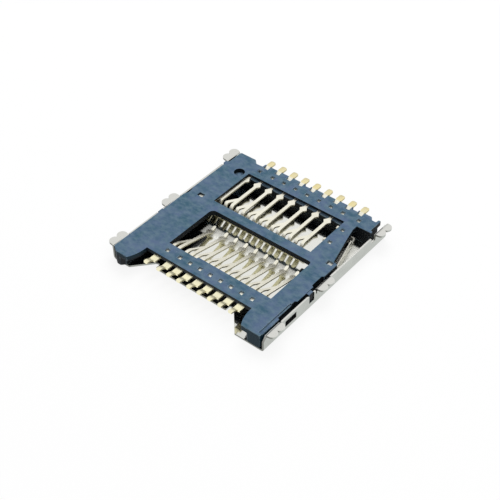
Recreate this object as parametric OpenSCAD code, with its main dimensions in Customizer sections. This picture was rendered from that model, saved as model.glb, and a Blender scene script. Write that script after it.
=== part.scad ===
// Two-row microSD card connector, drawn as it lies on its metal shell.
// The side that is soldered to the board faces up, and the card goes in along +Y.
// Inside the modules, X is measured from the middle of the shell, Y from the front of the ears
// and Z from the outer face of the shell.

/* [Body] */
// Outer width of the metal shell
shell_w = 14.1; // [13.7:0.1:17]
// Length of the two ears in front of the contact bar
ear_l = 1.65; // [1.2:0.05:2.4]
// Length of the bar that holds the front row of contacts
front_bar_l = 1.5; // [1.2:0.05:2.2]
// Length of the front window
front_window_l = 4.55; // [4.2:0.05:6]
// Length of the bar between the two windows
middle_bar_l = 0.85; // [0.7:0.05:1.4]
// Length of the rear window
rear_window_l = 4.1; // [3.6:0.05:5.5]
// Length of the bar that holds the rear row of contacts
rear_bar_l = 1.7; // [1.5:0.05:2.4]
// Thickness of the housing's plate on the board side
plate_t = 0.43; // [0.38:0.01:0.7]
// Free height between the shell's floor and the housing's plate
slot_h = 0.8; // [0.65:0.01:1.1]
// Play between the housing and the shell's left wall
left_play = 0.06; // [0.04:0.01:0.14]
// Play between the housing and the shell's right wall
right_play = 0.16; // [0.1:0.01:0.2]

/* [Card] */
// Width of the card that fits the slot
card_w = 11; // [10.5:0.1:11.5]
// Play on each side of the card
card_play = 0.05; // [0.03:0.01:0.2]
// Offset of the card slot's middle from the shell's middle
slot_shift = -0.17; // [-0.3:0.01:0.3]
// Lead-in chamfer at the mouth of the slot
mouth_chamfer = 0.3; // [0.1:0.05:0.5]

/* [Shell] */
// Thickness of the shell's sheet
shell_t = 0.15; // [0.1:0.01:0.2]
// Inner radius of the shell's bends
bend_r = 0.12; // [0.05:0.01:0.2]
// How far the walls stay below the board plane
wall_drop = 0.11; // [0.05:0.01:0.3]
// How far a soldering tab reaches out past the wall
tab_reach = 0.54; // [0.4:0.02:1]
// Length of a soldering tab along the wall
tab_l = 1.55; // [1.2:0.05:1.6]
// Start of the front tab
front_tab_y = 0.35; // [0.2:0.05:0.6]
// Start of the middle tab
middle_tab_y = 5.85; // [5.5:0.05:6.2]
// Gap between the end of the shell's floor and the housing's far edge
rear_step = 0.05; // [0:0.01:0.3]
// Depth of the slots beside the lip in the shell's front edge
lip_d = 1.85; // [1.7:0.05:2.3]
// How far back the lip between those slots starts
lip_y = 1.38; // [1:0.02:1.5]
// Distance of the cut for the lip from the shell's left side
lip_left = 1.27; // [1.2:0.01:1.6]
// Distance of the cut for the lip from the shell's right side
lip_right = 2.5; // [1.6:0.05:2.8]

/* [Front contacts] */
// Number of contacts in the front row
front_count = 9; // [6:1:9]
// Distance between neighbours in the front row
front_pitch = 0.932; // [0.9:0.002:0.95]
// Distance from the first contact of the front row to the second
front_first_gap = 1.2; // [1.1:0.02:1.3]
// Place of the second beam of the front row
front_row_x = -2; // [-2.1:0.02:-1.9]
// Width of a front beam
front_beam_w = 0.28; // [0.2:0.01:0.3]
// How high a front contact's lowest point stays above the shell's floor
front_rest_h = 0.15; // [0.1:0.01:0.4]
// How far a front tail reaches out of its bar
front_tail_l = 1.2; // [0.8:0.05:1.4]
// Width of the solder end of a front tail
front_tail_w = 0.36; // [0.3:0.01:0.45]
// Width of the broad part of a front tail
front_shank_w = 0.56; // [0.48:0.01:0.62]

/* [Rear contacts] */
// Number of card contacts in the rear row
rear_count = 8; // [6:1:8]
// Distance between neighbours in the rear row
rear_pitch = 1.1; // [0.9:0.01:1.12]
// Place of the first beam of the rear row
rear_row_x = -4.37; // [-4.4:0.01:-4.3]
// Width of a rear beam
rear_beam_w = 0.27; // [0.2:0.01:0.3]
// How high a rear contact's lowest point stays above the shell's floor
rear_rest_h = 0.22; // [0.15:0.01:0.4]
// How far a rear tail reaches out of its bar
rear_tail_l = 0.65; // [0.5:0.05:1]
// Width of the solder end of a rear tail
rear_tail_w = 0.48; // [0.35:0.01:0.5]
// Sideways step between a rear beam and its tail
rear_jog = 0.455; // [0.4:0.005:0.5]

/* [Leads and springs] */
// Thickness of the contact strip
strip_t = 0.12; // [0.08:0.01:0.15]
// Depth of the leads' upper face below the board plane
lead_drop = 0.18; // [0.15:0.01:0.22]
// Play between a lead and the plastic round it
lead_play = 0.01; // [0.005:0.005:0.02]
// Thickness of the detect spring and the card spring
leaf_t = 0.1; // [0.08:0.01:0.12]
// Width of a support hole
pit_w = 0.3; // [0.2:0.02:0.34]

/* [Hidden] */
$fn = 32;
eps = 0.02;
total_h = shell_t + slot_h + plate_t;
plate_z = shell_t + slot_h;
wall_z = shell_t + lead_play;
front_bar_y = ear_l;
front_window_y = front_bar_y + front_bar_l;
middle_bar_y = front_window_y + front_window_l;
rear_window_y = middle_bar_y + middle_bar_l;
rear_bar_y = rear_window_y + rear_window_l;
body_l = rear_bar_y + rear_bar_l;
total_l = body_l + rear_tail_l;
wall_x = shell_w / 2;
wall_in = wall_x - shell_t;
left_x = left_play - wall_in;
right_x = wall_in - right_play;
wall_top = total_h - wall_drop;

slot_w = card_w + 2 * card_play;
slot_left = slot_shift - slot_w / 2;
slot_right = slot_shift + slot_w / 2;
back_wall_y = rear_bar_y + 0.15;

lead_top = total_h - lead_drop;
lead_mid = lead_top - strip_t / 2;
lead_low = lead_top - strip_t;
tail_mid = total_h - strip_t / 2;

// Front row: the beam's axis is x = 0 of a contact.
front_first_x = front_row_x - front_first_gap;
front_last_x = front_row_x + (front_count - 2) * front_pitch;
front_left_leg = front_beam_w / 2 + 0.48;
front_shank_x = -0.62;
front_win_x0 = front_first_x - 0.75;
front_win_x1 = front_last_x + 0.66;
front_tip_y = middle_bar_y - 0.55;
front_low_y = front_tip_y - 0.4;
front_bend_y0 = front_bar_y + 0.35;
front_bend_y1 = front_bar_y + 0.85;

// Rear row
rear_last_x = rear_row_x + (rear_count - 1) * rear_pitch;
rear_win_x0 = rear_row_x - rear_beam_w / 2 - 0.025;
rear_win_x1 = rear_last_x + 1.15;
finger_x = -0.5 * rear_pitch;
rear_neck_w = 0.38;
rear_bend_y0 = rear_bar_y + 0.25;
rear_bend_y1 = rear_bar_y + 0.7;
rear_rise = 0.34;
ledge_l = 0.27;
ledge_z = lead_top - 0.02;
head_y = rear_bar_y - ledge_l - 0.28;
fork_y = rear_window_y + 1.5;
dip_y = rear_window_y + 0.55;
rear_low_y = rear_window_y + 0.08;
rear_tip_y = rear_window_y - 0.5;
rear_spoon = 0.04;
rear_lift = 0.6;

// Strip beside the rear window, the opening behind it and the rib that keys the card
detect_x = rear_win_x1 + 0.44;
opening_y0 = rear_window_y + 0.08;
rib_x = rear_win_x1 + 0.1;
rib_w = 0.4;

// Tabs: lowest y of each
rear_tab_y = body_l - tab_l + 0.1;
tab_ys = [front_tab_y, middle_tab_y, rear_tab_y];
lug_y = middle_tab_y - 0.85;

// Small geometry helpers

function unit(v) = v / norm(v);

function left_of(v) = [-v.y, v.x];

function heading(p, i) = unit(p[min(i + 1, len(p) - 1)] - p[min(i, len(p) - 2)]);

// Point i of a path, moved sideways by s with mitred corners
function beside(p, i, s) =
    let (a = heading(p, max(i - 1, 0)), b = heading(p, i))
    p[i] + s * (left_of(a) + left_of(b)) / (1 + a * b);

// Closed outline of a strip of thickness t along a path
function ribbon(p, t) = concat(
    [for (i = [0:len(p) - 1]) beside(p, i, t / 2)],
    [for (i = [len(p) - 1:-1:0]) beside(p, i, -t / 2)]
);

// Path whose inner corners are rounded over the distance d
function eased(p, d, n = 4) = concat(
    [p[0]],
    [for (i = [1:len(p) - 2], k = [0:n])
        let (
            a = p[i] + d * unit(p[i - 1] - p[i]),
            c = p[i] + d * unit(p[i + 1] - p[i]),
            t = k / n
        )
        (1 - t) * (1 - t) * a + 2 * t * (1 - t) * p[i] + t * t * c],
    [p[len(p) - 1]]
);

function arc(c, r, a0, a1, n = 6) =
    [for (i = [0:n]) c + r * [cos(a0 + (a1 - a0) * i / n), sin(a0 + (a1 - a0) * i / n)]];

// Left or right side of the housing
function side_x(s) = s > 0 ? right_x : left_x;

function front_x(k) = k == 1 ? front_first_x : front_row_x + (k - 2) * front_pitch;

function rear_x(k) = rear_row_x + (k - 1) * rear_pitch;

// Moves a piece from the working frame to the part's own frame
module place() {
    translate([0, -total_l / 2, 0]) children();
}

module slab(x0, x1, y0, y1, z0, z1) {
    translate([x0, y0, z0]) cube([x1 - x0, y1 - y0, z1 - z0]);
}

// Extrudes a Y-Z outline along X
module along_x(x0, x1, outline) {
    translate([x0, 0, 0]) rotate([90, 0, 90]) linear_extrude(x1 - x0) polygon(outline);
}

// Extrudes an X-Z outline along Y
module along_y(y0, y1, outline) {
    translate([0, y1, 0]) rotate([90, 0, 0]) linear_extrude(y1 - y0) polygon(outline);
}

module upright(z0, z1, outline) {
    translate([0, 0, z0]) linear_extrude(z1 - z0) polygon(outline);
}

// Housing

ear_r = 3;
ear_left_x = front_first_x - 1.67;
ear_right_x = front_last_x + 0.21;
edge_in = 0.16;
notch_d = 0.15;
bulge_x = detect_x + 0.55;

// Outline of the plate, anticlockwise from the left ear's front
function plate_outline() = concat(
    [[left_x, 0.35], [left_x + 0.5, 0]],
    arc([ear_left_x - ear_r, ear_l - 0.1], ear_r, -asin((ear_l - 0.1) / ear_r), 0, 5),
    [[ear_left_x, front_bar_y], [ear_right_x, front_bar_y]],
    arc([ear_right_x + ear_r, ear_l - 0.1], ear_r, 180, 180 + asin((ear_l - 0.1) / ear_r), 5),
    [
        [right_x, 0],
        [right_x, front_tab_y + tab_l + 0.2],
        [right_x - edge_in, front_tab_y + tab_l + 0.25],
        [right_x - edge_in, lug_y - 1.05],
        [right_x, lug_y - 0.95],
        [right_x, middle_tab_y],
        [right_x - edge_in, middle_tab_y + 0.05],
        [right_x - edge_in, middle_tab_y + tab_l - 0.4],
        [right_x, middle_tab_y + tab_l - 0.3],
        [right_x, opening_y0],
        [right_x - 0.37, opening_y0 + 0.06],
        [bulge_x + 0.25, rear_bar_y - 1.45],
        [bulge_x, rear_bar_y - 0.35],
        [bulge_x, back_wall_y],
        [right_x - 0.04, back_wall_y],
        [right_x - 0.04, back_wall_y + 0.2],
        [right_x - 0.22, back_wall_y + 0.3],
        [right_x - 0.22, body_l],
        [right_x - 0.42, body_l],
        [right_x - 0.47, body_l - 0.3],
        [rear_last_x + rear_pitch + rear_jog + 1.05, body_l - 0.3],
        [rear_last_x + rear_pitch + rear_jog + 0.85, body_l],
        [rear_row_x + rear_jog - 0.3, body_l],
        [rear_row_x + rear_jog - 0.35, body_l - 0.35],
        [rear_row_x - 0.5, body_l - 0.35],
        [rear_row_x - 0.85, body_l],
        [left_x + 0.2, body_l],
        [left_x + 0.13, body_l - 0.1],
        [left_x + 0.12, rear_tab_y],
        [-wall_in - 0.09, rear_tab_y - 0.08],
        [-wall_in - 0.09, rear_tab_y - 0.4],
        [left_x + 0.04, rear_tab_y - 0.48],
        [left_x + 0.04, rear_window_y + 0.25],
        [left_x + notch_d, rear_window_y - 0.2],
        [left_x + notch_d, rear_window_y - 0.45],
        [left_x, middle_bar_y + 0.05]
    ]
);

function window_outline(x0, x1, y0, y1, r) = concat(
    [[x0, y0], [x1, y0]],
    arc([x1 - r / 2, y1 - r / 2], r / 2, 0, 90, 4),
    arc([x0 + r, y1 - r], r, 90, 180, 4)
);

// Channel in the front bar for one lead
function front_channel(m) = [
    [front_shank_x - front_shank_w / 2 - m, front_bar_y - eps],
    [front_shank_x + front_shank_w / 2 + m, front_bar_y - eps],
    [front_shank_x + front_shank_w / 2 + m, front_bend_y0],
    [front_beam_w / 2 + m, front_bend_y1],
    [front_beam_w / 2 + m, front_window_y + eps],
    [-front_left_leg - m, front_window_y + eps],
    [-front_left_leg - m, front_bend_y1],
    [front_shank_x - front_shank_w / 2 - m, front_bend_y0]
];

// Channel in the rear bar for one lead
function rear_channel(m) = [
    [-rear_beam_w / 2 - m, rear_bar_y - ledge_l - eps],
    [rear_beam_w / 2 + m, rear_bar_y - ledge_l - eps],
    [rear_beam_w / 2 + m, rear_bend_y0],
    [rear_jog + rear_neck_w / 2 + m, rear_bend_y1],
    [rear_jog + rear_neck_w / 2 + m, body_l + 1],
    [rear_jog - rear_neck_w / 2 - m, body_l + 1],
    [rear_jog - rear_neck_w / 2 - m, rear_bend_y1 + 0.1],
    [-rear_beam_w / 2 - m, rear_bend_y0 + 0.1]
];

detect_tail_x = -0.04;
detect_lug_x = 0.62 - rear_beam_w / 2;
detect_lug_y0 = rear_bar_y + 0.55;
detect_lug_y1 = rear_bar_y + 0.95;
detect_y = rear_window_y + 1.05;

// Channel in the right strip and the rear bar for the detect lead
function detect_channel(m) = [
    [-rear_beam_w / 2 - m, detect_y - m],
    [rear_beam_w / 2 + m, detect_y - m],
    [rear_beam_w / 2 + m, detect_lug_y0 - m],
    [detect_lug_x + m, detect_lug_y0 - m],
    [detect_lug_x + m, detect_lug_y1 + m],
    [detect_tail_x + rear_neck_w / 2 + m, detect_lug_y1 + m],
    [detect_tail_x + rear_neck_w / 2 + m, body_l + 1],
    [detect_tail_x - rear_neck_w / 2 - m, body_l + 1],
    [detect_tail_x - rear_neck_w / 2 - m, rear_bend_y1 + 0.1],
    [-rear_beam_w / 2 - m, rear_bend_y1]
];

// Two stubs of the detect lead that reach into the rear window
stub_ys = [rear_bar_y - 0.6, rear_bar_y - 2.2];
stub_w = 0.24;
stub_out = 0.24;

card_leaf_x = slot_left - 0.28;
detect_leaf_x = right_x - 0.2;
anchor_y = rear_window_y - 0.4;

module housing_solid() {
    upright(plate_z, total_h, plate_outline());
    // Left side wall
    slab(left_x + 0.12, slot_left, 0.4, body_l - 0.2, wall_z, plate_z + eps);
    upright(wall_z, plate_z + eps, [
        [left_x, 0.35], [left_x + 0.5, 0], [slot_left, 0], [slot_left, 0.5], [left_x, 0.5]
    ]);
    // Right side wall, which ends at the opening
    slab(slot_right, right_x, 0, front_tab_y + tab_l + 0.2, wall_z, plate_z + eps);
    slab(slot_right, right_x - edge_in, front_tab_y + tab_l, opening_y0, wall_z, plate_z + eps);
    // Back wall
    slab(left_x + 0.12, right_x - 0.22, back_wall_y, body_l - 0.35, wall_z, plate_z + eps);
    // Rib that keys the narrow end of the card
    slab(rib_x, rib_x + rib_w, opening_y0, rear_bar_y - 0.6, wall_z, plate_z + eps);
    // Lugs that snap into the shell's windows and notches
    for (s = [-1, 1]) {
        latch_lug(s);
        notch_lug(s);
    }
}

// Sloped lug behind the shell's window
module latch_lug(s) {
    x0 = side_x(s) - s * (edge_in + eps);
    x1 = s * (wall_x - 0.04);
    along_y(latch_y + 0.08, latch_y + latch_l - 0.08, [
        [x0, latch_z + 0.06],
        [side_x(s) + s * 0.01, latch_z + 0.06],
        [x1, latch_z + latch_h - 0.16],
        [x1, latch_z + latch_h - 0.06],
        [x0, latch_z + latch_h - 0.06]
    ]);
}

// Lug that fills the open notch beside the middle tab
module notch_lug(s) {
    a = side_x(s) - s * (edge_in + eps);
    b = s * (wall_in + 0.08);
    slab(min(a, b), max(a, b), lug_y + 0.05, lug_y + notch_l - 0.05, notch_z + 0.06, total_h - 0.04);
}

// Support hole above a lead, through which the moulding tool held it
module pit(x, y) {
    slab(x - pit_w / 2, x + pit_w / 2, y - pit_w / 2, y + pit_w / 2, lead_mid, total_h + 1);
}

module front_pits() {
    for (k = [1:front_count]) {
        pit(front_x(k) - 0.33, front_bar_y + 0.56 + pit_w / 2);
    }
}

module rear_pits() {
    pit_y = rear_bar_y + 0.6 + pit_w / 2;
    for (k = [1:rear_count]) {
        pit(rear_x(k) + (k == 1 ? 0.3 : 0.47), pit_y);
    }
    pit(detect_x + 0.15 + pit_w / 2, pit_y);
    for (y = stub_ys) {
        pit(detect_x, y - 0.25);
    }
}

gate_floor = 0.05;
gate_r = 0.43;
gate_stub_r = 0.15;

// Round moulding recess with the little stub that the gate leaves
module gate_recess() {
    translate([rear_win_x0 - 0.7, rear_bar_y - 0.3, plate_z + gate_floor]) {
        difference() {
            cylinder(r = gate_r, h = 1);
            translate([0, 0, -1]) cylinder(r = gate_stub_r, h = 1.14);
        }
    }
}

module leads_in_plastic() {
    z0 = lead_low - lead_play;
    z1 = lead_top + lead_play;
    for (k = [1:front_count]) {
        translate([front_x(k), 0, 0]) upright(z0, z1, front_channel(lead_play));
    }
    for (k = [1:rear_count]) {
        translate([rear_x(k), 0, 0]) {
            upright(z0, z1, rear_channel(lead_play));
            slab(rear_jog - rear_neck_w / 2 - lead_play, rear_jog + rear_neck_w / 2 + lead_play,
                body_l - rear_rise - 0.08, body_l + 1, z0, total_h + 1);
        }
    }
    translate([detect_x, 0, 0]) {
        upright(z0, z1, detect_channel(lead_play));
        slab(detect_tail_x - rear_neck_w / 2 - lead_play,
            detect_tail_x + rear_neck_w / 2 + lead_play, body_l - rear_rise - 0.08, body_l + 1, z0, total_h + 1);
        for (y = stub_ys) {
            slab(rear_win_x1 - detect_x - 1, 0, y - stub_w / 2 - lead_play,
                y + stub_w / 2 + lead_play, z0, z1);
        }
    }
}

latch_y = front_tab_y + tab_l + 0.45;
latch_l = 1.2;
latch_z = shell_t + 0.33;
latch_h = 0.55;
notch_l = 0.55;
notch_z = shell_t + 0.45;

module housing() {
    color("slategray")
    place()
    difference() {
        housing_solid();
        // Windows
        upright(-1, total_h + 1,
            window_outline(front_win_x0, front_win_x1, front_window_y, middle_bar_y, 0.4));
        slab(rear_win_x0, rear_win_x1, rear_window_y, rear_bar_y - ledge_l, -1, total_h + 1);
        slab(rear_win_x0, rear_win_x1, rear_bar_y - ledge_l - eps, rear_bar_y, ledge_z,
            total_h + 1);
        // The left third of the front window reaches further forward
        slab(front_win_x0, front_first_x + 2 * front_pitch, front_window_y - 0.15,
            front_window_y + eps, lead_top + lead_play, total_h + 1);
        // Relief under the plate for the rear contacts' fingers and the first one's side
        slab(rear_win_x0 - 0.75, rear_last_x + 0.4, rear_tip_y - 0.15, rear_window_y + eps,
            shell_t + 0.01, lead_top + 0.03);
        slab(rear_win_x0 - 0.75, rear_win_x0 + eps, rear_tip_y - 0.15, fork_y + 0.1,
            plate_z - eps, lead_top + 0.03);
        slab(rear_win_x0 - 0.19, rear_win_x0 + eps, fork_y, rear_bar_y - ledge_l + 0.3,
            plate_z - eps, lead_top + 0.03);
        leads_in_plastic();
        front_pits();
        rear_pits();
        gate_recess();
        spring_pockets();
        mouth_cut();
        for (s = [-1, 1]) {
            lower_edge(s);
        }
        // Low step along the rim of the right ear
        slab(right_x - rim_w, right_x + 1, 0.3, lug_y - 1.4, total_h - rim_d, total_h + 1);
        // Two shallow notches in the far edge
        for (k = [4, rear_count]) {
            slab(rear_x(k) + rear_jog + 0.29, rear_x(k) + rear_jog + 0.81, body_l - 0.2,
                body_l + 1, lead_low, total_h + 1);
        }
    }
}

edge_chamfer = 0.12;
rim_w = 0.27;
rim_d = 0.11;

// Chamfer that clears the bend between the shell's floor and its wall
module lower_edge(s) {
    along_y(-1, body_l + 1, [
        [side_x(s) - s * (edge_chamfer + 0.2), shell_t - 0.2],
        [s * wall_x, shell_t - 0.2],
        [s * wall_x, shell_t + wall_x - s * side_x(s) + edge_chamfer]
    ]);
}

// Chamfers that lead the card into the slot
module mouth_cut() {
    upright(shell_t - 1, plate_z, [
        [slot_left - mouth_chamfer, -1],
        [slot_left - mouth_chamfer, 0],
        [slot_left, mouth_chamfer],
        [slot_left + 1, mouth_chamfer],
        [slot_left + 1, -1]
    ]);
    upright(shell_t - 1, plate_z, [
        [slot_right + mouth_chamfer, -1],
        [slot_right + mouth_chamfer, 0],
        [slot_right, mouth_chamfer],
        [slot_right - 1, mouth_chamfer],
        [slot_right - 1, -1]
    ]);
    along_x(ear_left_x - eps, ear_right_x + eps, [
        [front_bar_y - 1, plate_z - 1],
        [front_bar_y - eps, plate_z - 1],
        [front_bar_y + 0.25, plate_z - eps],
        [front_bar_y - eps, plate_z + 0.1],
        [front_bar_y - 1, plate_z + 0.1]
    ]);
}

// Springs at the two sides of the slot

leaf_z0 = shell_t + 0.1;
leaf_z1 = plate_z - 0.07;
arm_z1 = shell_t + 0.36;
anchor_w = 0.62;
anchor_l = 0.6;

// Broad part of the detect spring, which follows the edge of the opening
detect_slant = [
    [detect_leaf_x, anchor_y],
    [detect_leaf_x, opening_y0 + 0.25],
    [bulge_x + 0.42, rear_bar_y - 1.45],
    [bulge_x + 0.3, rear_bar_y - 0.9]
];

// Low arm of the detect spring: the broad part, then across the back of the card
function detect_arm_path() = eased(concat(detect_slant, [
    [bulge_x + 0.1, rear_bar_y - 0.2],
    [rib_x - 0.25, rear_bar_y - 0.2]
]), 0.14);

// Leaf that bulges into the slot and presses on the card's side
function card_leaf_path() = eased([
    [card_leaf_x, anchor_y],
    [card_leaf_x, anchor_y + 1],
    [slot_left + 0.12, anchor_y + 2.3],
    [slot_left + 0.12, anchor_y + 2.6],
    [card_leaf_x + 0.08, anchor_y + 3.6]
], 0.12);

// Anchor of a side spring: a tab in the plate, bent down into the leaf
module anchor(x, s) {
    path = eased([
        [x + s * (anchor_w - leaf_t), lead_mid],
        [x, lead_mid],
        [x, leaf_z0 + 0.1]
    ], 0.1);
    along_y(anchor_y, anchor_y + anchor_l, ribbon(path, leaf_t));
}

module spring_pockets() {
    m = lead_play;
    // Card spring in the left wall
    slab(card_leaf_x - leaf_t / 2 - 0.05, slot_left + eps, anchor_y - m, anchor_y + 3.9,
        shell_t - eps, plate_z);
    slab(card_leaf_x - leaf_t / 2 - m, card_leaf_x + anchor_w, anchor_y - m,
        anchor_y + anchor_l + m, plate_z - eps, lead_top + m);
    slab(card_leaf_x + 0.02, card_leaf_x + 0.02 + hatch_w, anchor_y + 0.12,
        anchor_y + 0.12 + hatch_l, lead_mid, total_h + 1);
    // Detect spring in the right wall
    slab(detect_leaf_x - leaf_t / 2 - 0.05, detect_leaf_x + leaf_t / 2 + 0.05, anchor_y - m,
        opening_y0 + 1, shell_t - eps, plate_z);
    slab(detect_leaf_x - anchor_w, detect_leaf_x + leaf_t / 2 + m, anchor_y - m,
        anchor_y + anchor_l + m, plate_z - eps, lead_top + m);
    slab(detect_leaf_x - 0.07 - hatch_w, detect_leaf_x - 0.07, anchor_y + 0.12,
        anchor_y + 0.12 + hatch_l, lead_mid, total_h + 1);
}

hatch_w = 0.5;
hatch_l = 0.36;

module detect_spring() {
    color("lightgray")
    place()
    union() {
        anchor(detect_leaf_x, -1);
        upright(leaf_z0, leaf_z1, ribbon(eased(detect_slant, 0.14), leaf_t));
        upright(leaf_z0, arm_z1, ribbon(detect_arm_path(), leaf_t));
    }
}

module card_spring() {
    color("lightgray")
    place()
    union() {
        anchor(card_leaf_x, 1);
        upright(leaf_z0, leaf_z1, ribbon(card_leaf_path(), leaf_t));
    }
}

// Contacts

front_low_z = shell_t + front_rest_h + strip_t / 2;
front_shank_l = 0.6;
front_barb = 0.11;

// Side view of a front contact: tail, lead, falling beam and lifted tip
function front_side() = eased([
    [front_bar_y - front_tail_l - 0.3, tail_mid],
    [front_bar_y - front_shank_l - 0.35, tail_mid],
    [front_bar_y - front_shank_l + 0.02, lead_mid],
    [front_window_y + 0.2, lead_mid],
    [front_low_y, front_low_z],
    [front_tip_y + 0.1, front_low_z + 0.19]
], 0.12);

// Plan of a front contact without the slit between its two legs
function front_plan() =
    let (
        x0 = front_shank_x - front_shank_w / 2,
        x1 = front_shank_x + front_shank_w / 2,
        b = front_beam_w / 2,
        tail_y = front_bar_y - front_tail_l,
        tip_r = b - 0.02,
        r = 0.1
    )
    concat(
        arc([x0 + r, tail_y + r], r, 180, 270, 4),
        arc([x0 + front_tail_w - r, tail_y + r], r, 270, 360, 4),
        [
            [x0 + front_tail_w, front_bar_y - front_shank_l],
            [x1, front_bar_y - front_shank_l],
            [x1, front_bend_y0],
            [b, front_bend_y1],
            [b, front_low_y - 0.5],
            [b + front_barb, front_low_y - 0.35],
            [b + front_barb, front_low_y - 0.2],
            [tip_r, front_low_y - 0.08]
        ],
        arc([0, front_tip_y - b], tip_r, 0, 180, 6),
        [
            [-tip_r, front_low_y - 0.08],
            [-b - front_barb, front_low_y - 0.2],
            [-b - front_barb, front_low_y - 0.35],
            [-b, front_low_y - 0.5],
            [-b, front_window_y + 1.55],
            [-front_left_leg, front_window_y + 0.45],
            [-front_left_leg, front_bend_y1],
            [x0, front_bend_y0]
        ]
    );

// Slit between the two legs of a front contact
function front_slit() =
    let (x0 = -front_left_leg + 0.26, x1 = -front_beam_w / 2 + 0.02)
    [
        [x1, front_window_y - 0.12],
        [x1, front_window_y + 1.05],
        [x0, front_window_y + 0.5],
        [x0, front_window_y - 0.12]
    ];

module contact_front(k) {
    color("khaki")
    place()
    translate([front_x(k), 0, 0])
    difference() {
        intersection() {
            along_x(-2, 2, ribbon(front_side(), strip_t));
            upright(-1, total_h + 1, front_plan());
        }
        upright(-1, total_h + 1, front_slit());
    }
}

rear_low_z = shell_t + rear_rest_h + strip_t / 2;
head_l = 0.27;
head_out = 0.19;

// Side view of a rear contact, from the lifted fingertips to the tail
function rear_side() = eased([
    [rear_tip_y - 0.2, rear_low_z + rear_lift * (rear_low_y - rear_tip_y + 0.2)],
    [rear_low_y, rear_low_z],
    [dip_y + 0.1, lead_mid],
    [body_l - rear_rise, lead_mid],
    [body_l - rear_rise + 0.28, tail_mid],
    [total_l + 0.2, tail_mid]
], 0.12);

// Plan of a rear contact without the slit between its two fingers
function rear_plan() =
    let (
        b = rear_beam_w / 2,
        n = rear_neck_w / 2,
        w = rear_tail_w / 2,
        r = 0.16,
        f = finger_x - b
    )
    concat(
        arc([f + b, rear_tip_y + b], b + rear_spoon, 180, 270, 4),
        arc([0, rear_tip_y + b], b + rear_spoon, 270, 360, 4),
        [
            [b + rear_spoon, rear_low_y - 0.15],
            [b, rear_low_y],
            [b, head_y - head_l],
            [b + head_out, head_y],
            [b, head_y + head_l],
            [b, rear_bend_y0],
            [rear_jog + n, rear_bend_y1],
            [rear_jog + n, body_l + 0.03],
            [rear_jog + w, body_l + 0.08]
        ],
        arc([rear_jog + w - r, total_l - r], r, 0, 90, 4),
        arc([rear_jog - w + r, total_l - r], r, 90, 180, 4),
        [
            [rear_jog - w, body_l + 0.08],
            [rear_jog - n, body_l + 0.03],
            [rear_jog - n, rear_bend_y1 + 0.1],
            [-b, rear_bend_y0 + 0.1],
            [-b, head_y + head_l],
            [-b - head_out, head_y],
            [-b, head_y - head_l],
            [-b, fork_y],
            [f, dip_y + 0.1],
            [f, rear_low_y],
            [f - rear_spoon, rear_low_y - 0.15]
        ]
    );

// Slit between the two fingers of a rear contact
function rear_slit() =
    let (b = rear_beam_w / 2)
    [
        [-b - rear_spoon, rear_tip_y - 1],
        [-b - rear_spoon, rear_low_y - 0.15],
        [-b, rear_low_y],
        [-b, dip_y + 0.45],
        [finger_x + b, dip_y + 0.05],
        [finger_x + b, rear_low_y],
        [finger_x + b + rear_spoon, rear_low_y - 0.15],
        [finger_x + b + rear_spoon, rear_tip_y - 1]
    ];

module contact_rear(k) {
    color("khaki")
    place()
    translate([rear_x(k), 0, 0])
    difference() {
        intersection() {
            along_x(-2, 2, ribbon(rear_side(), strip_t));
            upright(-1, total_h + 1, rear_plan());
        }
        upright(-1, total_h + 1, rear_slit());
    }
}

// Side view of the detect lead: flat, then up to the tail
function detect_side() = eased([
    [rear_window_y, lead_mid],
    [body_l - rear_rise, lead_mid],
    [body_l - rear_rise + 0.28, tail_mid],
    [total_l + 0.2, tail_mid]
], 0.12);

function detect_plan() =
    let (
        b = rear_beam_w / 2,
        n = rear_neck_w / 2,
        w = rear_tail_w / 2,
        x = detect_tail_x,
        r = 0.16
    )
    concat(
        [
            [-b, detect_y],
            [b, detect_y],
            [b, detect_lug_y0],
            [detect_lug_x, detect_lug_y0],
            [detect_lug_x, detect_lug_y1],
            [x + n, detect_lug_y1],
            [x + n, body_l + 0.03],
            [x + w, body_l + 0.08]
        ],
        arc([x + w - r, total_l - r], r, 0, 90, 4),
        arc([x - w + r, total_l - r], r, 90, 180, 4),
        [
            [x - w, body_l + 0.08],
            [x - n, body_l + 0.03],
            [x - n, rear_bend_y1 + 0.1],
            [-b, rear_bend_y1]
        ]
    );

module detect_contact() {
    color("khaki")
    place()
    translate([detect_x, 0, 0])
    union() {
        intersection() {
            along_x(-2, 2, ribbon(detect_side(), strip_t));
            upright(-1, total_h + 1, detect_plan());
        }
        for (y = stub_ys) {
            slab(rear_win_x1 - detect_x - stub_out, 0, y - stub_w / 2, y + stub_w / 2,
                lead_low, lead_top);
        }
    }
}

// Shell

// Cross-section of the folded sheet
function shell_section() =
    let (r1 = bend_r + shell_t, r0 = bend_r, cx = wall_in - bend_r, cz = shell_t + bend_r)
    concat(
        [[-wall_x, wall_top]],
        arc([-cx, cz], r1, 180, 270, 5),
        arc([cx, cz], r1, 270, 360, 5),
        [[wall_x, wall_top], [wall_in, wall_top]],
        arc([cx, cz], r0, 360, 270, 5),
        arc([-cx, cz], r0, 270, 180, 5),
        [[-wall_in, wall_top]]
    );

tab_r = 0.4;

// Cross-section of a soldering tab on the right wall
function tab_section() = ribbon(eased([
    [wall_x - shell_t / 2, wall_top - 0.35],
    [wall_x - shell_t / 2, total_h - shell_t / 2],
    [wall_x + tab_reach + 0.2, total_h - shell_t / 2]
], 0.2, 6), shell_t);

// Two round lobes at the end of a soldering tab
module tab_plan() {
    linear_extrude(3) {
        translate([wall_x + tab_reach - tab_r, tab_r]) circle(r = tab_r);
        translate([wall_x + tab_reach - tab_r, tab_l - tab_r]) circle(r = tab_r);
        translate([wall_in - 0.1, 0]) square([tab_reach + shell_t + 0.1 - tab_r, tab_l]);
    }
}

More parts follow.
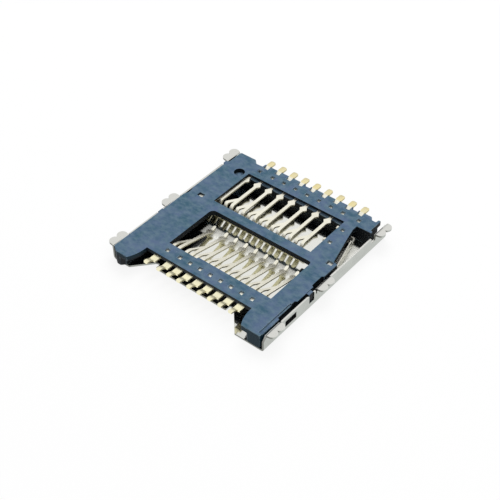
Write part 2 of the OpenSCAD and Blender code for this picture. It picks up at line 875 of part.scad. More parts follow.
module tab(y) {
    translate([0, y, 0])
    intersection() {
        along_y(0, tab_l, tab_section());
        tab_plan();
    }
}

module shell() {
    color("silver")
    place()
    union() {
        difference() {
            along_y(floor_y, body_l - rear_step, shell_section());
            lip_cut();
            for (s = [-1, 1]) {
                wall_cuts(s);
            }
        }
        for (y = tab_ys) {
            tab(y);
            mirror([1, 0, 0]) tab(y);
        }
    }
}

floor_y = 0.05;
flank = 0.88;
lip_gap = 0.3;

// Cut along the shell's front edge: the left corner, and a lip between two slots
module lip_cut() {
    x0 = -wall_x + lip_left - flank * floor_y;
    x1 = wall_x - lip_right + flank * floor_y;
    upright(-1, total_h + 1, eased([
        [-wall_x - 1, -1],
        [-wall_x - 1, front_tab_y],
        [x0 + flank * front_tab_y, front_tab_y],
        [x0 + flank * lip_d, lip_d],
        [x0 + flank * lip_d + lip_gap, lip_d],
        [x0 + flank * lip_d + lip_gap, lip_y],
        [x1 - flank * lip_d - lip_gap, lip_y],
        [x1 - flank * lip_d - lip_gap, lip_d],
        [x1 - flank * lip_d, lip_d],
        [x1, 0],
        [x1 + flank, -1]
    ], 0.12));
}

// Openings in one side wall
module wall_cuts(s) {
    x0 = min(s * (wall_in - 0.3), s * (wall_x + 0.3));
    x1 = x0 + shell_t + 0.6;
    // Window for the latch lug
    slab(x0, x1, latch_y, latch_y + latch_l, latch_z, latch_z + latch_h);
    // Open notch for the second lug
    slab(x0, x1, lug_y, lug_y + notch_l, notch_z, total_h);
    // Relief slits beside the tabs
    for (y = [front_tab_y + tab_l, middle_tab_y - 0.1, middle_tab_y + tab_l]) {
        slab(x0, x1, y, y + 0.1, wall_top - 0.32, total_h);
    }
    slab(x0, x1, rear_tab_y - 0.5, rear_tab_y, wall_top - 0.4, total_h);
    // Chamfer at the front of the wall
    along_x(x0, x1, [
        [-1, wall_top - 0.38], [floor_y, wall_top - 0.38], [front_tab_y, wall_top - 0.02],
        [front_tab_y, total_h], [-1, total_h]
    ]);
}

housing();
shell();
for (k = [1:front_count]) {
    contact_front(k);
}
for (k = [1:rear_count]) {
    contact_rear(k);
}
detect_contact();
detect_spring();
card_spring();
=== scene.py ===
"""Looks of a two-row memory card connector that lies on its metal shell.

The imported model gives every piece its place. This script rounds the edges of each piece, gives it a
finish, and sets the floor, the lamps and the camera of the product photograph.
"""

import logging
import math
from dataclasses import dataclass
from enum import Enum

import bmesh
import bpy
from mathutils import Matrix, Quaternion, Vector

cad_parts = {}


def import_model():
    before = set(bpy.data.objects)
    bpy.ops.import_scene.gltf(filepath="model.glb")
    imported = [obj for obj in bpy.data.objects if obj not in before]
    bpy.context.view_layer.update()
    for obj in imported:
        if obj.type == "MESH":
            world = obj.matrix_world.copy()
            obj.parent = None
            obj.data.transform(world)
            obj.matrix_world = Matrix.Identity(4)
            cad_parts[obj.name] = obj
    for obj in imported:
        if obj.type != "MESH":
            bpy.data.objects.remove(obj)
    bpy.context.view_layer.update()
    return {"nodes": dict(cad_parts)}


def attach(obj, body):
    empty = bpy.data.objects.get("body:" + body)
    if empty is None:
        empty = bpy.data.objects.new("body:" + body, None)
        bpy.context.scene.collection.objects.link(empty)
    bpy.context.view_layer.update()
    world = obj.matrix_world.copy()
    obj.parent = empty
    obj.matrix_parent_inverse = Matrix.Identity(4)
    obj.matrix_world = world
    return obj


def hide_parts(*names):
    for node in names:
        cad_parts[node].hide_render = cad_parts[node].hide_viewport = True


LOG = logging.getLogger("card_connector")
MM = 0.001
BODY = "root"
RIM = "rim"

# How much of its normal lies along an axis where a surface starts to face it, and where it does.
FACING_UP = (0.3, 0.6)
FACING_SQUARE = (0.6, 0.85)

Colour = tuple[float, float, float]
Triple = tuple[float, float, float]
Span = tuple[float, float]
Nodes = dict[str, bpy.types.Object]
Socket = bpy.types.NodeSocket
Value = Socket | float | tuple[float, ...]


class Slot(Enum):
    """Material slots of the record."""

    PLASTIC = "housing_plastic"
    SHEET = "shell_steel"
    CONTACT = "contact_alloy"
    SPRING = "spring_steel"


class Corner(Enum):
    """Radii of the edges, in millimetres, by the way an edge is made."""

    MOULDED = 0.05
    SHEARED = 0.02
    STAMPED = 0.014


class Graph:
    """A material's or world's node tree, with short calls to add and join nodes."""

    def __init__(self, tree: bpy.types.NodeTree) -> None:
        """Empties the tree.

        Args:
            tree: the node tree to fill.
        """
        self.tree = tree
        tree.nodes.clear()

    def node(self, kind: str, settings: dict | None = None, **inputs: Value) -> bpy.types.Node:
        """Adds a node and fills its sockets.

        Args:
            kind: Blender's name of the node type.
            settings: properties to set on the node.
            inputs: socket names, with underscores for spaces, and their values or sources.

        Returns:
            The new node.
        """
        made = self.tree.nodes.new(kind)
        for key, value in (settings or {}).items():
            setattr(made, key, value)
        self.fill(made, **inputs)
        return made

    def fill(self, node: bpy.types.Node, **inputs: Value) -> None:
        """Fills a node's sockets.

        Args:
            node: the node whose sockets are filled.
            inputs: socket names, with underscores for spaces, and their values or sources.
        """
        for key, value in inputs.items():
            self.feed(node.inputs[key.replace("_", " ")], value)

    def feed(self, socket: Socket, value: Value) -> None:
        """Joins a source to an input socket, or sets the input's value.

        Args:
            socket: the input socket.
            value: the source's socket, or the value.
        """
        if isinstance(value, Socket):
            self.tree.links.new(value, socket)
        else:
            socket.default_value = value

    def math(self, operation: str, a: Value, b: Value = 0.0) -> Socket:
        """Adds a two-input math node.

        Args:
            operation: Blender's name of the operation.
            a: the first number or its source.
            b: the second number or its source.

        Returns:
            The result's socket.
        """
        made = self.node("ShaderNodeMath", {"operation": operation})
        self.feed(made.inputs[0], a)
        self.feed(made.inputs[1], b)
        return made.outputs[0]

    def times(self, a: Value, b: Value) -> Socket:
        """Returns the product of two numbers."""
        return self.math("MULTIPLY", a, b)

    def span(
        self, value: Value, low: float, high: float, to_low: float = 0.0, to_high: float = 1.0
    ) -> Socket:
        """Maps a value from one range to another with its ends held.

        Args:
            value: the value or its source.
            low: the start of the range it comes from.
            high: the end of that range, which may lie below its start.
            to_low: the result at the start.
            to_high: the result at the end.

        Returns:
            The mapped value's socket.
        """
        made = self.node("ShaderNodeMapRange", {"clamp": True})
        for socket, number in zip(made.inputs, (value, low, high, to_low, to_high)):
            self.feed(socket, number)
        return made.outputs[0]

    def mix(self, factor: Value, a: Value, b: Value) -> Socket:
        """Mixes two colours.

        Args:
            factor: the share of the second colour.
            a: the first colour or its source.
            b: the second colour or its source.

        Returns:
            The mixed colour's socket.
        """
        made = self.node("ShaderNodeMix", {"data_type": "RGBA"})
        colours = [socket for socket in made.inputs if socket.type == "RGBA"]
        self.feed(made.inputs[0], factor)
        self.feed(colours[0], a)
        self.feed(colours[1], b)
        return next(socket for socket in made.outputs if socket.type == "RGBA")

    def tint(self, factor: Value, under: Value, over: Colour) -> Socket:
        """Returns a colour that is covered by an sRGB colour of 0 to 255 to a share of factor."""
        return self.mix(factor, under, colour(over))

    def place(self) -> Socket:
        """Returns the place on the piece in millimetres."""
        here = self.node("ShaderNodeTexCoord").outputs["Object"]
        settings = {"operation": "SCALE"}
        return self.node("ShaderNodeVectorMath", settings, Vector=here, Scale=1 / MM).outputs[0]

    def stretch(self, place: Value, scale: Triple) -> Socket:
        """Returns a place scaled along each axis."""
        return self.node("ShaderNodeMapping", Vector=place, Scale=scale).outputs["Vector"]

    def rim(self) -> Socket:
        """Returns 1 on a rounded edge and 0 elsewhere."""
        return self.node("ShaderNodeAttribute", {"attribute_name": RIM}).outputs["Fac"]

    def part(self, vector: Value, axis: str) -> Socket:
        """Returns a vector's part along an axis."""
        return self.node("ShaderNodeSeparateXYZ", Vector=vector).outputs[axis]

    def normal(self, axis: str) -> Socket:
        """Returns how far the surface faces along an axis, from -1 to 1."""
        return self.part(self.node("ShaderNodeNewGeometry").outputs["Normal"], axis)

    def facing(self, axis: str, span: Span = FACING_SQUARE) -> Socket:
        """Returns 1 where the surface faces along an axis, either way, and 0 elsewhere."""
        return self.span(self.math("ABSOLUTE", self.normal(axis)), *span)

    def up(self, sign: int = 1) -> Socket:
        """Returns 1 where the surface faces up, or down for a sign of -1, and 0 elsewhere."""
        return self.span(self.normal("Z"), *(sign * limit for limit in FACING_UP))

    def bump(self, height: Value, strength: float, depth: float) -> Socket:
        """Returns the normal of a surface whose height varies by a depth in millimetres."""
        made = self.node("ShaderNodeBump", Height=height, Strength=strength, Distance=depth * MM)
        return made.outputs["Normal"]

    def rays(self, *kinds: str) -> Socket:
        """Tells some kinds of ray from the others.

        Args:
            kinds: the outputs of Light Path to look at.

        Returns:
            The socket of an answer that is 1 for these kinds and 0 for the others.
        """
        paths = self.node("ShaderNodeLightPath")
        answer = paths.outputs[kinds[0]]
        for kind in kinds[1:]:
            answer = self.math("MAXIMUM", answer, paths.outputs[kind])
        return answer


class Surface:
    """A new material with its graph, its principled shader and its output."""

    def __init__(self, name: str) -> None:
        """Starts the material.

        Args:
            name: the material's name.
        """
        self.material = bpy.data.materials.new(name)
        self.material.use_nodes = True
        self.graph = Graph(self.material.node_tree)
        self.shader = self.graph.node("ShaderNodeBsdfPrincipled")
        plain = self.shader.outputs["BSDF"]
        self.output = self.graph.node("ShaderNodeOutputMaterial", Surface=plain)

    def dress(self, **inputs: Value) -> bpy.types.Material:
        """Fills the shader's sockets.

        Args:
            inputs: socket names, with underscores for spaces, and their values or sources.

        Returns:
            The material.
        """
        self.graph.fill(self.shader, **inputs)
        return self.material


def colour(rgb: Colour) -> tuple[float, float, float, float]:
    """Turns an sRGB colour of 0 to 255 into the linear one that shaders take.

    Args:
        rgb: the red, green and blue of the colour.

    Returns:
        The linear colour with full cover.
    """
    channels = [value / 255 for value in rgb]
    linear = [c / 12.92 if c <= 0.04045 else ((c + 0.055) / 1.055) ** 2.4 for c in channels]
    return (*linear, 1.0)


def grey(level: float) -> tuple[float, float, float, float]:
    """Returns a linear grey with full cover."""
    return (level, level, level, 1.0)


@dataclass(frozen=True)
class Layer:
    """Noise over a piece, with its lumps to a millimetre and the greys that it is cut between."""

    scale: float
    detail: float = 3.0
    roughness: float = 0.5
    greys: Span = (0.3, 0.7)
    stretch: Triple | None = None

    def noise(self, graph: Graph, place: Value) -> Socket:
        """Adds the noise.

        Args:
            graph: the material's graph.
            place: the source of the place in millimetres.

        Returns:
            The socket of the noise's grey value.
        """
        if self.stretch:
            place = graph.stretch(place, self.stretch)
        settings = {"Scale": self.scale, "Detail": self.detail, "Roughness": self.roughness}
        return graph.node("ShaderNodeTexNoise", Vector=place, **settings).outputs[0]

    def share(self, graph: Graph, place: Value, low: float = 0.0, high: float = 1.0) -> Socket:
        """Returns a share that runs from low to high with the noise."""
        return graph.span(self.noise(graph, place), *self.greys, low, high)


@dataclass(frozen=True)
class Patch:
    """Rectangle of a piece seen from above, in millimetres, with soft borders."""

    x: Span
    y: Span
    border: float = 0.1

    def share(self, graph: Graph, place: Value) -> Socket:
        """Tells the inside of the patch from what lies around it.

        Args:
            graph: the material's graph.
            place: the source of the place in millimetres.

        Returns:
            The socket of a share that is 1 within the patch and 0 around it.
        """
        half = self.border / 2
        share = 1.0
        for axis, (low, high) in (("X", self.x), ("Y", self.y)):
            along = graph.part(place, axis)
            share = graph.times(share, graph.span(along, low - half, low + half))
            share = graph.times(share, graph.span(along, high + half, high - half))
        return share


# Where the support pits of the two rows, of the detect contact and of the detect spring open.
FRONT_PITS = Patch((-5.4, 5.4), (-5.7, -4.8))
REAR_PITS = Patch((-5.4, 5.4), (5.45, 6.7))
DETECT_PITS = Patch((4.7, 5.15), (2.35, 4.65))
SPRING_PIT = Patch((5.7, 6.6), (0.6, 1.3))


@dataclass(frozen=True)
class Matte:
    """Duller patch of a metal's upper faces, with its added roughness and its share of metal."""

    patch: Patch
    metal: float
    rougher: float = 0.1


@dataclass(frozen=True)
class MouldedPlastic:
    """Matte slate blue moulding with flow clouds, weld lines, a fine spark-eroded grain, painted
    light and shade.
    """

    base: Colour = (55, 88, 107)
    cloud: Colour = (83, 102, 130)
    pale: Colour = (100, 123, 136)
    # Painted shade: the dark colour of the upright faces and of the deep upper faces.
    side: Colour = (13, 20, 26)
    # Painted light: the ears' front, paler on the right and near the top.
    front: Colour = (22, 48, 60)
    # Painted light: the paler walls of the pits.
    pit_light: Colour = (120, 136, 148)
    # Painted highlight: the paler rounded edges, broken up by noise.
    rim: Colour = (112, 131, 142)

    clouds: Layer = Layer(0.7, 4.0, 0.6, (0.38, 0.62))
    veins: Layer = Layer(2.2, 5.0, 0.6, (0.4, 0.7), (0.8, 1.3, 1.0))
    vein_share: float = 0.75
    # Noise that breaks up the painted highlight on the rounded edges, and its range of shares.
    edge_sheen: Layer = Layer(3.0, greys=(0.35, 0.65))
    edge_sheen_shares: Span = (0.1, 0.7)
    grain: Layer = Layer(16.0, 4.0, 0.65)
    grain_strength: float = 0.35
    grain_depth: float = 0.006
    roughness: Span = (0.5, 0.64)
    specular: float = 0.2

    # In millimetres: where the ears' front starts, which gets painted light on the right and near the
    # top, how deep an upper face gets painted shade, and the round recess that is kept free of it.
    front_y: Span = (-5.8, -6.1)
    right_x: Span = (-0.1, 0.1)
    high_z: Span = (1.0, 1.2)
    deep_shade_z: Span = (1.25, 1.15)
    recess: Patch = Patch((-5.72, -4.74), (4.36, 5.34), 0.04)
    pits: tuple[Patch, ...] = (FRONT_PITS, REAR_PITS, DETECT_PITS, SPRING_PIT)
    flank_facing: Span = (0.75, 0.3)

    def upper(self, graph: Graph, place: Value) -> Socket:
        """Colours the faces that look up or down, with painted shade on the deep ones outside the
        round recess.

        Args:
            graph: the material's graph.
            place: the source of the place in millimetres.

        Returns:
            The colour's socket.
        """
        clouded = graph.tint(self.clouds.share(graph, place), colour(self.base), self.cloud)
        veins = self.veins.share(graph, place, high=self.vein_share)
        veined = graph.tint(veins, clouded, self.pale)
        # Painted shade on upper faces that lie deep, except in the round recess.
        deep_shade = graph.span(graph.part(place, "Z"), *self.deep_shade_z)
        around = graph.math("SUBTRACT", 1.0, self.recess.share(graph, place))
        return graph.tint(graph.times(deep_shade, around), veined, self.side)

    def flank(self, graph: Graph, place: Value) -> Socket:
        """Colours the upright faces with painted shade, and with painted light on the ears' front and
        the pits.

        Args:
            graph: the material's graph.
            place: the source of the place in millimetres.

        Returns:
            The colour's socket.
        """
        # Painted light on the ears' front, on the right and near the top, over the painted shade.
        right = graph.span(graph.part(place, "X"), *self.right_x)
        high = graph.span(graph.part(place, "Z"), *self.high_z)
        front = graph.span(graph.part(place, "Y"), *self.front_y)
        pale = graph.times(front, graph.math("MAXIMUM", right, high))
        flank = graph.tint(pale, colour(self.side), self.front)
        # Painted light on the pits' walls.
        for patch in self.pits:
            flank = graph.tint(patch.share(graph, place), flank, self.pit_light)
        return flank

    def make(self) -> bpy.types.Material:
        """Builds the material.

        Returns:
            The new material.
        """
        surface = Surface("moulded_plastic")
        graph = surface.graph
        place = graph.place()
        upright = graph.facing("Z", self.flank_facing)
        faces = graph.mix(upright, self.upper(graph, place), self.flank(graph, place))
        # Painted highlight on the rounded edges, broken up by noise.
        sheen = graph.times(graph.rim(), self.edge_sheen.share(graph, place, *self.edge_sheen_shares))
        grain = self.grain.noise(graph, place)
        return surface.dress(
            Base_Color=graph.tint(sheen, faces, self.rim),
            Roughness=graph.span(grain, *self.grain.greys, *self.roughness),
            Normal=graph.bump(grain, self.grain_strength, self.grain_depth),
            Specular_IOR_Level=self.specular,
        )


@dataclass(frozen=True)
class Plating:
    """Plating on a strip's card side and at its two ends, which start at places along Y."""

    near: Colour
    far: Colour
    near_y: Span
    far_y: Span

    def cover(self, graph: Graph, place: Value, bare: Value) -> Socket:
        """Plates the strip.

        Args:
            graph: the material's graph.
            place: the source of the place in millimetres.
            bare: the bare strip's colour or its source.

        Returns:
            The plated colour's socket.
        """
        y = graph.part(place, "Y")
        near = graph.math("MAXIMUM", graph.span(y, *self.near_y), graph.up(-1))
        return graph.tint(graph.span(y, *self.far_y), graph.tint(near, bare, self.near), self.far)


@dataclass(frozen=True)
class Polish:
    """Polished upper face of a sheet, below a height and behind a place along Y."""

    shade: Colour
    low_z: Span
    behind_y: Span

    def cover(self, graph: Graph, place: Value, bare: Value) -> Socket:
        """Polishes the sheet.

        Args:
            graph: the material's graph.
            place: the source of the place in millimetres.
            bare: the unpolished sheet's colour or its source.

        Returns:
            The polished colour's socket.
        """
        low = graph.span(graph.part(place, "Z"), *self.low_z)
        behind = graph.span(graph.part(place, "Y"), *self.behind_y)
        return graph.tint(graph.times(graph.times(low, behind), graph.up()), bare, self.shade)


@dataclass(frozen=True)
class StripMetal:
    """Rolled metal strip with drawing lines, dull patches and rough sheared edges."""

    name: str
    base: Colour
    dull: Colour
    sheared: Colour
    roughness: Span
    lines: Triple = (14.0, 0.5, 14.0)
    line_depth: float = 0.001
    line_strength: float = 0.08
    edge_axis: str = "Y"
    edge_share: float = 0.6
    edge_rougher: float = 0.2
    spots: Layer = Layer(1.1, 4.0, 0.6, (0.42, 0.7))
    spot_share: float = 0.5
    # Painted light: a lighter colour for the upward faces, where given.
    upper: Colour | None = None
    plating: Plating | None = None
    polish: Polish | None = None
    matte: tuple[Matte, ...] = ()

    def tint(self, graph: Graph, place: Value) -> Socket:
        """Colours the faces other than the sheared ones.

        Args:
            graph: the material's graph.
            place: the source of the place in millimetres.

        Returns:
            The colour's socket.
        """
        tint = colour(self.base)
        if self.plating:
            tint = self.plating.cover(graph, place, tint)
        tint = graph.tint(self.spots.share(graph, place, high=self.spot_share), tint, self.dull)
        # Painted light on the upward faces.
        if self.upper:
            tint = graph.tint(graph.up(), tint, self.upper)
        if self.polish:
            tint = self.polish.cover(graph, place, tint)
        return tint

    def make(self) -> bpy.types.Material:
        """Builds the material.

        Returns:
            The new material.
        """
        surface = Surface(self.name)
        graph = surface.graph
        place = graph.place()
        streaks = Layer(1.0, 4.0, 0.6, stretch=self.lines)
        lines = streaks.noise(graph, place)
        edge = graph.facing(self.edge_axis)
        rough = graph.times(edge, self.edge_rougher)
        metal = 1.0
        for matte in self.matte:
            share = graph.times(matte.patch.share(graph, place), graph.up())
            rough = graph.math("ADD", rough, graph.times(share, matte.rougher))
            metal = graph.times(metal, graph.span(share, 0.0, 1.0, 1.0, matte.metal))
        rough = graph.math("ADD", graph.span(lines, *streaks.greys, *self.roughness), rough)
        cut = graph.times(edge, self.edge_share)
        return surface.dress(
            Base_Color=graph.tint(cut, self.tint(graph, place), self.sheared),
            Roughness=rough,
            Normal=graph.bump(lines, self.line_strength, self.line_depth),
            Metallic=metal,
        )


def way(edge: bmesh.types.BMEdge, vertex: bmesh.types.BMVert) -> Vector:
    """Returns the direction in which an edge leaves a vertex."""
    return (edge.other_vert(vertex).co - vertex.co).normalized()


@dataclass(frozen=True)
class Rounding:
    """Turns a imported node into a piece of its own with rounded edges.

    Vertices within "weld" metres and faces within "flat" degrees are joined first. Then an edge is
    rounded where its faces meet outwards at more than "sharp" degrees and neither end is cramped. An
    end is cramped where one of its edges is shorter than "room" times the rounding's width, or where
    two of them lie within "narrow" degrees. An edge also stays sharp where it lines up with a sharp
    one to between "straight" and "narrow" degrees. Where a triangle comes out turned over by more
    than "fold" square metres, the corners within "reach" times the width stay sharp next time.
    """

    corner: Corner
    segments: int = 2
    sharp: float = 30.0
    narrow: float = 24.0
    straight: float = 1.5
    flat: float = 0.5
    weld: float = 2e-7
    room: float = 2.1
    fold: float = 2e-10
    reach: float = 3.0
    attempts: int = 8

    @property
    def width(self) -> float:
        """The rounding's width in metres."""
        return self.corner.value * MM

    def cramped(self, vertex: bmesh.types.BMVert) -> bool:
        """Tells whether a corner is too small or too acute to be rounded.

        Args:
            vertex: the corner.

        Returns:
            True where one of its edges is too short, or two of them are too close.
        """
        if min(edge.calc_length() for edge in vertex.link_edges) < self.room * self.width:
            return True
        ways = [way(edge, vertex) for edge in vertex.link_edges]
        limit = math.cos(math.radians(self.narrow))
        return any(a.dot(b) > limit for i, a in enumerate(ways) for b in ways[i + 1 :])

    def slips(self, edge: bmesh.types.BMEdge, chosen: set[bmesh.types.BMEdge]) -> bool:
        """Tells whether an edge nearly lines up with one that stays sharp.

        The rounding would end far along the sharp edge, and leave a spike.

        Args:
            edge: the edge that is to be rounded.
            chosen: all the edges that are to be rounded.

        Returns:
            True where such an edge meets this one.
        """
        low, high = (math.cos(math.radians(angle)) for angle in (self.narrow, self.straight))
        return any(
            low < abs(way(edge, vertex).dot(way(other, vertex))) < high
            for vertex in edge.verts
            for other in vertex.link_edges
            if other not in chosen
        )

    def edges(self, shape: bmesh.types.BMesh) -> list[bmesh.types.BMEdge]:
        """Finds the edges to round.

        Args:
            shape: the mesh being rounded.

        Returns:
            The sharp edges whose two ends have room for the rounding.
        """
        cramped = {vertex for vertex in shape.verts if vertex.tag or self.cramped(vertex)}
        limit = math.radians(self.sharp)
        chosen = {
            edge
            for edge in shape.edges
            if len(edge.link_faces) == 2
            and edge.is_convex
            and edge.calc_face_angle(0.0) > limit
            and not cramped.intersection(edge.verts)
        }
        dropped = chosen
        while dropped:
            dropped = {edge for edge in chosen if self.slips(edge, chosen)}
            chosen = chosen - dropped
        return [edge for edge in shape.edges if edge in chosen]

    def bevel(self, plain: bmesh.types.BMesh) -> bmesh.types.BMesh:
        """Rounds the edges of a copy and marks the new faces.

        Args:
            plain: the mesh with sharp edges.

        Returns:
            The copy with rounded edges.
        """
        shape = plain.copy()
        rim = shape.faces.layers.float.new(RIM)
        made = bmesh.ops.bevel(
            shape,
            geom=self.edges(shape),
            offset=self.width,
            offset_type="OFFSET",
            segments=self.segments,
            profile=0.5,
            affect="EDGES",
            clamp_overlap=False,
            loop_slide=False,
        )
        for face in made["faces"]:
            face[rim] = 1.0
        shape.normal_update()
        return shape

    def folds(self, shape: bmesh.types.BMesh) -> list[Vector]:
        """Finds where a face has folded over itself.

        Args:
            shape: the rounded mesh.

        Returns:
            The corners of every triangle that looks the wrong way.
        """
        places = []
        for loops in shape.calc_loop_triangles():
            a, b, c = (loop.vert.co for loop in loops)
            if (b - a).cross(c - a).dot(loops[0].face.normal) < -self.fold:
                places += [a.copy(), b.copy(), c.copy()]
        return places

    def round(self, mesh: bpy.types.Mesh) -> None:
        """Rounds a mesh, and leaves corners sharp where rounding would fold a face.

        Args:
            mesh: the mesh to change.
        """
        plain = bmesh.new()
        plain.from_mesh(mesh)
        bmesh.ops.remove_doubles(plain, verts=plain.verts, dist=self.weld)
        angle = math.radians(self.flat)
        bmesh.ops.dissolve_limit(plain, angle_limit=angle, verts=plain.verts, edges=plain.edges)
        for vertex in plain.verts:
            vertex.tag = False
        for attempt in range(self.attempts):
            shape = self.bevel(plain)
            folds = self.folds(shape)
            if not folds:
                break
            LOG.info("%s: attempt %d left %d folds", mesh.name, attempt + 1, len(folds) // 3)
            shape.free()
            for vertex in plain.verts:
                if min((vertex.co - place).length for place in folds) < self.reach * self.width:
                    vertex.tag = True
        else:
            shape = plain.copy()
            LOG.info("%s: left sharp", mesh.name)
        shape.to_mesh(mesh)
        shape.free()
        plain.free()

    def apply(
        self, node: bpy.types.Object, finish: bpy.types.Material, slot: Slot
    ) -> bpy.types.Object:
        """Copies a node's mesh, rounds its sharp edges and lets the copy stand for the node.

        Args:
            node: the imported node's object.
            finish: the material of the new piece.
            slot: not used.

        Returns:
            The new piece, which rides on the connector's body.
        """
        name = node.name
        mesh = node.data.copy()
        mesh.name = f"{name}_rounded"
        piece = bpy.data.objects.new(f"{name}_rounded", mesh)
        bpy.context.scene.collection.objects.link(piece)
        self.round(mesh)
        mesh.materials.clear()
        mesh.materials.append(finish)
        mesh.polygons.foreach_set("use_smooth", [True] * len(mesh.polygons))
        mesh.set_sharp_from_angle(angle=math.radians(self.sharp))
        even = piece.modifiers.new("even_normals", "WEIGHTED_NORMAL")
        even.keep_sharp = True
        even.weight = 100
        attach(piece, BODY)
        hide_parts(name)
        LOG.info("%s: %d faces", piece.name, len(mesh.polygons))
        return piece


@dataclass
class Housing:
    """Moulded frame with the two windows, the ears and the side walls of the card slot."""

    node: str = "housing"
    finish: MouldedPlastic = MouldedPlastic()
    rounding: Rounding = Rounding(Corner.MOULDED)

    def build(self, nodes: Nodes) -> None:
        """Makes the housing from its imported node."""
        self.rounding.apply(nodes[self.node], self.finish.make(), Slot.PLASTIC)


@dataclass
class Shell:
    """Folded sheet that closes the slot and carries the soldering tabs.

    Its polished floor is matte between the front beams' tips and the middle bar, and in the opening
    on the right.
    """

    node: str = "shell"
    finish: StripMetal = StripMetal(
        "rolled_sheet",
        base=(186, 190, 184),
        dull=(170, 173, 168),
        # The faces that look along Y: the cut edges' duller tone, darkened further as painted shade.
        sheared=(74, 72, 62),
        roughness=(0.06, 0.14),
        # Painted light: the upward faces lighter than the upright ones.
        upper=(214, 214, 209),
        polish=Polish((228, 228, 222), low_z=(0.4, 0.3), behind_y=(-6.2, -5.9)),
        matte=(
            Matte(Patch((-4.0, 5.0), (-1.15, -0.2), 0.14), metal=0.1),
            Matte(Patch((5.5, 6.95), (0.0, 4.6), 0.2), metal=0.0),
        ),
    )
    rounding: Rounding = Rounding(Corner.SHEARED)

    def build(self, nodes: Nodes) -> None:
        """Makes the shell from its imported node."""
        self.rounding.apply(nodes[self.node], self.finish.make(), Slot.SHEET)


@dataclass
class Contacts:
    """The two rows of stamped contacts and the detect contact beside them."""

    prefixes: tuple[str, ...] = ("contact_front_", "contact_rear_", "detect_contact")
    finish: StripMetal = StripMetal(
        "plated_strip",
        base=(248, 245, 230),
        dull=(226, 222, 200),
        sheared=(168, 162, 128),
        roughness=(0.28, 0.4),
        lines=(22.0, 0.8, 22.0),
        line_depth=0.0002,
        edge_axis="X",
        plating=Plating((255, 249, 212), (240, 226, 172), (-5.8, -5.95), (6.75, 6.9)),
        matte=(
            Matte(FRONT_PITS, metal=0.2),
            Matte(REAR_PITS, metal=0.7),
            Matte(DETECT_PITS, metal=0.2),
        ),
    )
    rounding: Rounding = Rounding(Corner.STAMPED)

    def build(self, nodes: Nodes) -> None:
        """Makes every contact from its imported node.

        Args:
            nodes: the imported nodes' objects by name.
        """
        finish = self.finish.make()
        for name, node in nodes.items():
            if name.startswith(self.prefixes):
                self.rounding.apply(node, finish, Slot.CONTACT)


@dataclass
class SideSprings:
    """The two leaf springs that stand on edge beside the slot."""

    names: tuple[str, ...] = ("detect_spring", "card_spring")
    finish: StripMetal = StripMetal(
        "spring_strip",
        base=(244, 243, 236),
        dull=(224, 222, 212),
        sheared=(200, 198, 186),
        roughness=(0.39, 0.51),
        lines=(2.0, 2.0, 20.0),
        edge_axis="Z",
        matte=(Matte(Patch((-8.0, 8.0), (-8.0, 8.0)), metal=0.2),),
    )
    rounding: Rounding = Rounding(Corner.SHEARED)

    def build(self, nodes: Nodes) -> None:
        """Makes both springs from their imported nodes.

        Args:
            nodes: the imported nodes' objects by name.
        """
        finish = self.finish.make()
        for name in self.names:
            self.rounding.apply(nodes[name], finish, Slot.SPRING)


@dataclass(frozen=True)
class Lamp:
    """Square lamp that points at the connector and isn't mirrored in it, sized in metres."""

    name: str
    place: Triple
    size: float
    power: float

    def build(self) -> None:
        """Hangs the lamp."""
        light = bpy.data.lights.new(self.name, "AREA")
        light.shape = "SQUARE"
        light.size = self.size
        light.energy = self.power
        lamp = bpy.data.objects.new(self.name, light)
        lamp.location = self.place
        lamp.rotation_mode = "QUATERNION"
        lamp.rotation_quaternion = (-Vector(self.place)).to_track_quat("-Z", "Y")
        lamp.visible_glossy = False
        bpy.context.scene.collection.objects.link(lamp)


@dataclass(frozen=True)
class Floor:
    """Plain pale floor, which the camera sees as white apart from the shadow."""

    size: float = 0.6
    paper: float = 0.35
    seen_paper: float = 0.9
    roughness: float = 0.9
    glow: float = 0.85

    def build(self) -> None:
        """Lays the floor."""
        half = self.size / 2
        mesh = bpy.data.meshes.new("floor")
        corners = [(-half, -half, 0), (half, -half, 0), (half, half, 0), (-half, half, 0)]
        mesh.from_pydata(corners, [], [(0, 1, 2, 3)])
        floor = bpy.data.objects.new("floor", mesh)
        bpy.context.scene.collection.objects.link(floor)
        mesh.materials.append(self.make())

    def make(self) -> bpy.types.Material:
        """Builds the floor's material.

        Returns:
            The new material.
        """
        surface = Surface("floor_paper")
        graph = surface.graph
        seen = graph.rays("Is Camera Ray", "Is Glossy Ray", "Is Transmission Ray")
        paper = graph.mix(seen, grey(self.paper), grey(self.seen_paper))
        graph.fill(surface.shader, Base_Color=paper, Roughness=self.roughness)
        glow = graph.node("ShaderNodeEmission", Color=grey(1.0), Strength=1.0)
        mixed = graph.node("ShaderNodeMixShader")
        sources = (graph.times(seen, self.glow), surface.shader.outputs["BSDF"], glow.outputs[0])
        for socket, source in zip(mixed.inputs, sources):
            graph.feed(socket, source)
        graph.fill(surface.output, Surface=mixed.outputs[0])
        return surface.material


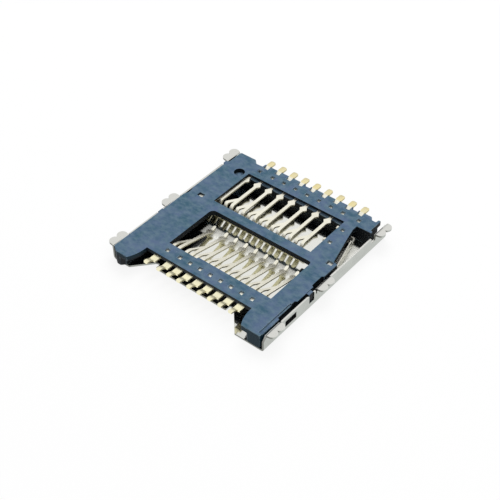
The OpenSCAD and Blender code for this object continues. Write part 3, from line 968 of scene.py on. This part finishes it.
@dataclass(frozen=True)
class Sky:
    """Soft surroundings that show as white to the camera.

    They brighten from the horizon up. The light that they cast and their mirror image in the metal
    each run between two levels over a range of heights.
    """

    dome_heights: Span = (0.2, 0.9)
    dome: Span = (0.03, 0.9)
    gloss_heights: Span = (0.0, 0.6)
    gloss: Span = (0.55, 1.0)

    def build(self) -> None:
        """Hangs the sky."""
        world = bpy.data.worlds.new("studio")
        bpy.context.scene.world = world
        world.use_nodes = True
        graph = Graph(world.node_tree)
        height = graph.part(graph.node("ShaderNodeTexCoord").outputs["Generated"], "Z")
        dome = graph.span(height, *self.dome_heights, *self.dome)
        gloss = graph.span(height, *self.gloss_heights, *self.gloss)
        shiny = graph.rays("Is Glossy Ray", "Is Transmission Ray")
        extra = graph.times(shiny, graph.math("SUBTRACT", gloss, dome))
        level = graph.math("ADD", dome, extra)
        white = graph.times(graph.rays("Is Camera Ray"), graph.math("SUBTRACT", 1.0, level))
        strength = graph.math("ADD", level, white)
        glow = graph.node("ShaderNodeBackground", Color=grey(1.0), Strength=strength)
        graph.node("ShaderNodeOutputWorld", Surface=glow.outputs[0])


@dataclass(frozen=True)
class Camera:
    """Camera where the photograph was taken from.

    Lengths are in millimetres and angles in degrees. The focal length is in pixels of the picture,
    whose width is frame_width.
    """

    target: Triple = (1.03, -1.5, 1.38)
    azimuth: float = 39.951
    elevation: float = 42.732
    roll: float = -0.909
    distance: float = 71.689
    focal: float = 1013.67
    frame_width: float = 500.0
    sensor: float = 36.0
    near: float = 1.0
    far: float = 10000.0

    def build(self) -> None:
        """Sets the camera up."""
        data = bpy.data.cameras.new("camera")
        data.sensor_width = self.sensor
        data.lens = self.focal * self.sensor / self.frame_width
        data.clip_start = self.near * MM
        data.clip_end = self.far * MM
        camera = bpy.data.objects.new("camera", data)
        turn, rise = math.radians(self.azimuth), math.radians(self.elevation)
        back = Vector(
            (math.sin(turn) * math.cos(rise), -math.cos(turn) * math.cos(rise), math.sin(rise))
        )
        camera.location = (Vector(self.target) + back * self.distance) * MM
        camera.rotation_mode = "QUATERNION"
        level = (-back).to_track_quat("-Z", "Y")
        camera.rotation_quaternion = level @ Quaternion((0, 0, 1), math.radians(self.roll))
        bpy.context.scene.collection.objects.link(camera)
        bpy.context.scene.camera = camera


@dataclass
class Studio:
    """Floor, surroundings, lamps and camera."""

    floor: Floor = Floor()
    sky: Sky = Sky()
    lamps: tuple[Lamp, ...] = (
        Lamp("key", (-0.08, 0.16, 0.26), 0.2, 0.55),
        Lamp("fill", (0.14, -0.02, 0.26), 0.2, 0.12),
    )
    camera: Camera = Camera()

    def build(self) -> None:
        """Builds the whole studio."""
        for part in (self.floor, self.sky, *self.lamps, self.camera):
            part.build()
        bpy.context.scene.view_settings.view_transform = "Standard"
        LOG.info("studio: floor, sky, %d lamps and camera", len(self.lamps))


def corners(box: tuple[Vector, Vector]) -> list[list[float]]:
    """Returns a box's two corners as plain lists."""
    return [list(corner) for corner in box]


def main() -> None:
    """Builds the connector's looks and its studio."""
    logging.basicConfig(level=logging.INFO)
    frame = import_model()
    nodes = frame["nodes"]
    for part in (Housing(), Shell(), Contacts(), SideSprings()):
        part.build(nodes)
    Studio().build()


if __name__ == "__main__":
    main()
